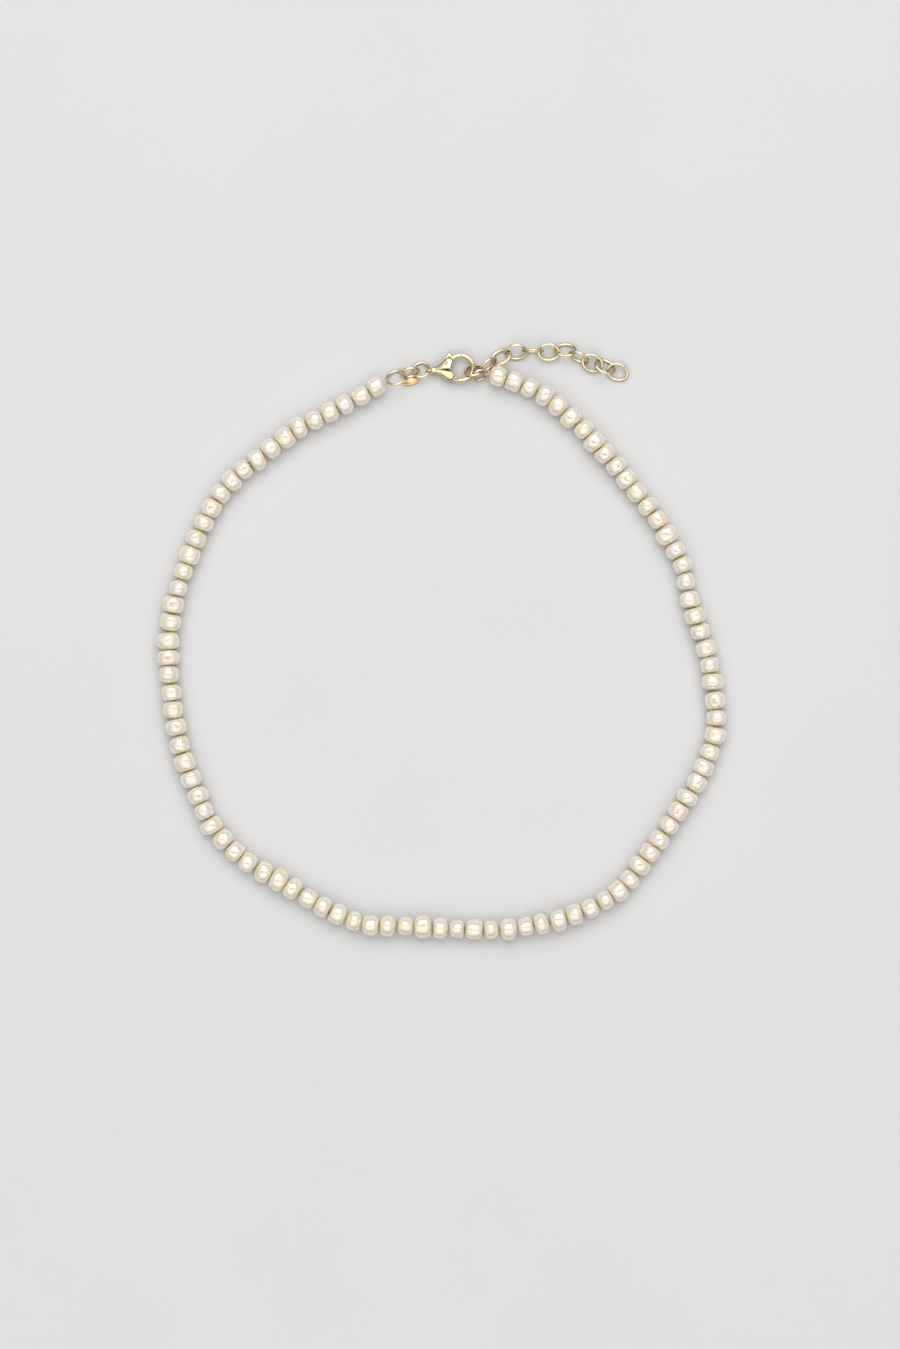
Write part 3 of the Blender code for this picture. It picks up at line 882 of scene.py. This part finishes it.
def rod(name, centre, radius, half):
    """An upright round bar."""
    turns = [2 * math.pi * j / LOFT_SIDES for j in range(LOFT_SIDES)]
    outline = [Vector((centre[0] + radius * math.cos(t), centre[1] + radius * math.sin(t))) for t in turns]
    return slab(name, outline, half)


def hoop_bar(name, stations, power):
    """A bar along the hoop. Each station gives an angle, a half width and a half thickness."""
    path = along([Vector(station) for station in stations], HOOP_STEPS)
    bar = []
    for angle, wide, thick in path:
        out = Vector((math.cos(math.radians(angle)), math.sin(math.radians(angle)), 0))
        bar.append((out * HOOP_RADIUS, out * wide, Vector((0, 0, thick))))
    return loft(name, bar, power)


def joined(name, meshes):
    """Several meshes as one."""
    work = bmesh.new()
    for mesh in meshes:
        work.from_mesh(mesh)
    made = bpy.data.meshes.new(name)
    work.to_mesh(made)
    work.free()
    return made


def working_object(mesh):
    """An object that holds a mesh while modifiers work on it."""
    item = bpy.data.objects.new(mesh.name, mesh)
    bpy.context.scene.collection.objects.link(item)
    return item


def applied(item):
    """The mesh of an object after its modifiers. The object is removed."""
    graph = bpy.context.evaluated_depsgraph_get()
    made = bpy.data.meshes.new_from_object(item.evaluated_get(graph))
    bpy.data.objects.remove(item)
    return made


def carved(mesh, *cutters):
    """A mesh with the cutters taken out of it."""
    item = working_object(mesh)
    tools = [working_object(cutter) for cutter in cutters]
    for tool in tools:
        cut = item.modifiers.new("cut", "BOOLEAN")
        cut.operation = "DIFFERENCE"
        cut.solver = "EXACT"
        cut.object = tool
    made = applied(item)
    for tool in tools:
        bpy.data.objects.remove(tool)
    return made


def one_skin(name, meshes):
    """Overlapping closed meshes as one smooth skin."""
    item = working_object(joined(name, meshes))
    skin = item.modifiers.new("skin", "REMESH")
    skin.mode = "VOXEL"
    skin.voxel_size = SKIN_CELL
    soft = item.modifiers.new("soft", "SMOOTH")
    soft.factor = 0.5
    soft.iterations = SKIN_ROUNDS
    return applied(item)


def clasp_piece(name, mesh, finish, body, slot, *nodes):
    """Shows a mesh made in the clasp's own frame in its place on the necklace."""
    place = Matrix.Translation(Vector(CLASP_PLACE) * MM)
    mesh.transform(place @ Matrix.Rotation(math.radians(CLASP_HEADING), 4, "Z") @ Matrix.Scale(MM, 4))
    mesh_object(name, mesh, finish, body, slot, *nodes)


def clasp_shell():
    """The flared body, slotted for the lever, with its hoop opening and pin hole."""
    flare = along([Vector(station) for station in FLARE], HOOP_STEPS)
    bar = [(Vector((x, 0, 0)), Vector((0, wide, 0)), Vector((0, 0, thick))) for x, wide, thick in flare]
    (x0, y0), (x1, y1) = SLOT
    outline = [Vector((x0, y0)), Vector((x1, y0)), Vector((x1, y1)), Vector((x0, y1))]
    return carved(
        loft("shell", bar, FLARE_POWER, FLARE_SIDES),
        rod("hoop_opening", (0, 0), HOOP_HOLE_RADIUS, CUTTER_HALF),
        slab("lever_slot", outline, SLOT_HALF),
        rod("pin_hole", PIVOT, PIN_HOLE_RADIUS, CUTTER_HALF),
    )


def build_clasp():
    """The shell, gate, thumb nub, rivet and spring."""
    turns = [2 * math.pi * i / RING_STEPS for i in range(RING_STEPS)]
    eye = [Vector((EYE_X + EYE_RADIUS * math.cos(t), 0, EYE_RADIUS * math.sin(t))) for t in turns]
    body = one_skin("clasp_shell", [
        clasp_shell(),
        hoop_bar("hook", HOOK, HOOK_POWER),
        hoop_bar("step", STEP, STEP_POWER),
        swept("tail_eye", eye, [EYE_WIRE_RADIUS] * RING_STEPS, True),
    ])
    clasp_piece("clasp_shell", body, CLASP_GOLD, "clasp_body", "clasp_gold", "clasp_body")
    outline = along([Vector((x, y, 0)) for x, y in LEVER_OUTLINE], HOOP_STEPS, closed=True)
    lever = one_skin("clasp_gate", [
        carved(slab("plate", outline, LEVER_HALF), rod("bore", PIVOT, PIN_HOLE_RADIUS, CUTTER_HALF)),
        hoop_bar("gate", GATE, GATE_POWER),
    ])
    clasp_piece("clasp_gate", lever, CLASP_GOLD, "clasp_lever", "clasp_gold", "clasp_lever")
    rows = []
    for x, y, wide, thick in THUMB:
        rows.append((Vector((x, y, 0)), Vector((wide, THUMB_LEAN * wide, 0)), Vector((0, 0, thick))))
    thumb = loft("clasp_thumb", rows, THUMB_POWER)
    clasp_piece("clasp_thumb", thumb, FROSTED_GOLD, "clasp_lever", "clasp_gold", "clasp_lever")
    heads = [(Vector((*PIVOT, z)), Vector((r, 0, 0)), Vector((0, r, 0))) for z, r in RIVET]
    rivet = loft("clasp_rivet", heads, ROUND_POWER)
    clasp_piece("clasp_rivet", rivet, CLASP_GOLD, "clasp_body", "clasp_gold", "clasp_pin")
    path = along([Vector((x, y, 0)) for x, y in SPRING_ROUTE], HOOP_STEPS)
    spring = swept("clasp_spring_wire", path, [SPRING_WIRE_RADIUS] * len(path), False)
    clasp_piece("clasp_spring_wire", spring, STEEL, "clasp_body", "spring_steel", "clasp_spring")


def build_tag():
    """The leaf-shaped tag plate and the solder that holds it to its link."""
    stations = [(Vector((0, 0, z)), Vector((TAG_HALF[0] * s, 0, 0)), Vector((0, TAG_HALF[1] * s, 0)))
                for z, s in TAG_EDGE]
    leaf = loft("tag_leaf", stations, LEAF_POWER)
    place = Matrix.Translation(Vector(TAG_PLACE) * MM)
    leaf.transform(place @ Matrix.Rotation(math.radians(TAG_HEADING), 4, "Z") @ Matrix.Scale(MM, 4))
    mesh_object("tag_leaf", leaf, TAG_GOLD, "tag_link", "chain_gold", "tag_plate")
    turns = [
        SOLDER_POLE + (math.pi - 2 * SOLDER_POLE) * k / SOLDER_STEPS
        for k in range(SOLDER_STEPS + 1)
    ]
    bead = [
        (Vector((0, 0, SOLDER_HALF[2] * math.cos(t))),
         Vector((SOLDER_HALF[0] * math.sin(t), 0, 0)), Vector((0, SOLDER_HALF[1] * math.sin(t), 0)))
        for t in turns
    ]
    solder = loft("tag_solder", bead, ROUND_POWER)
    solder.transform(Matrix.Translation(Vector(SOLDER_PLACE) * MM) @ Matrix.Scale(MM, 4))
    mesh_object("tag_solder", solder, CHAIN_GOLD, "tag_link", "chain_gold", "tag_plate")


def build_loops():
    """The thread's end loops, three yarns twisted together round each end ring."""
    for node, body in (("right_thread_loop", "pearls_01"), ("left_thread_loop", "pearls_32")):
        points = node_points(node)
        middle, (first, second, normal) = axes_of(points)
        wire = reach_along(points, middle, normal)
        radius = reach_along(points, middle, first) - wire
        for yarn in range(YARNS):
            path = []
            for i in range(RING_STEPS):
                turn = 2 * math.pi * i / RING_STEPS
                out = first * math.cos(turn) + second * math.sin(turn)
                twist = YARN_TURNS * turn + 2 * math.pi * yarn / YARNS
                offset = (out * math.cos(twist) + normal * math.sin(twist)) * wire * YARN_OFFSET
                path.append(middle + out * radius + offset)
            name = f"{node}_yarn_{yarn + 1}"
            mesh = swept(name, path, [wire * YARN_RADIUS] * RING_STEPS, True, THREAD_SIDES)
            mesh_object(name, mesh, THREAD, body, "thread", node)


camera()
studio()
PEARLS = strung_pearls()
build_pearls(PEARLS)
build_thread(PEARLS)
build_rings()
build_clasp()
build_tag()
build_loops()
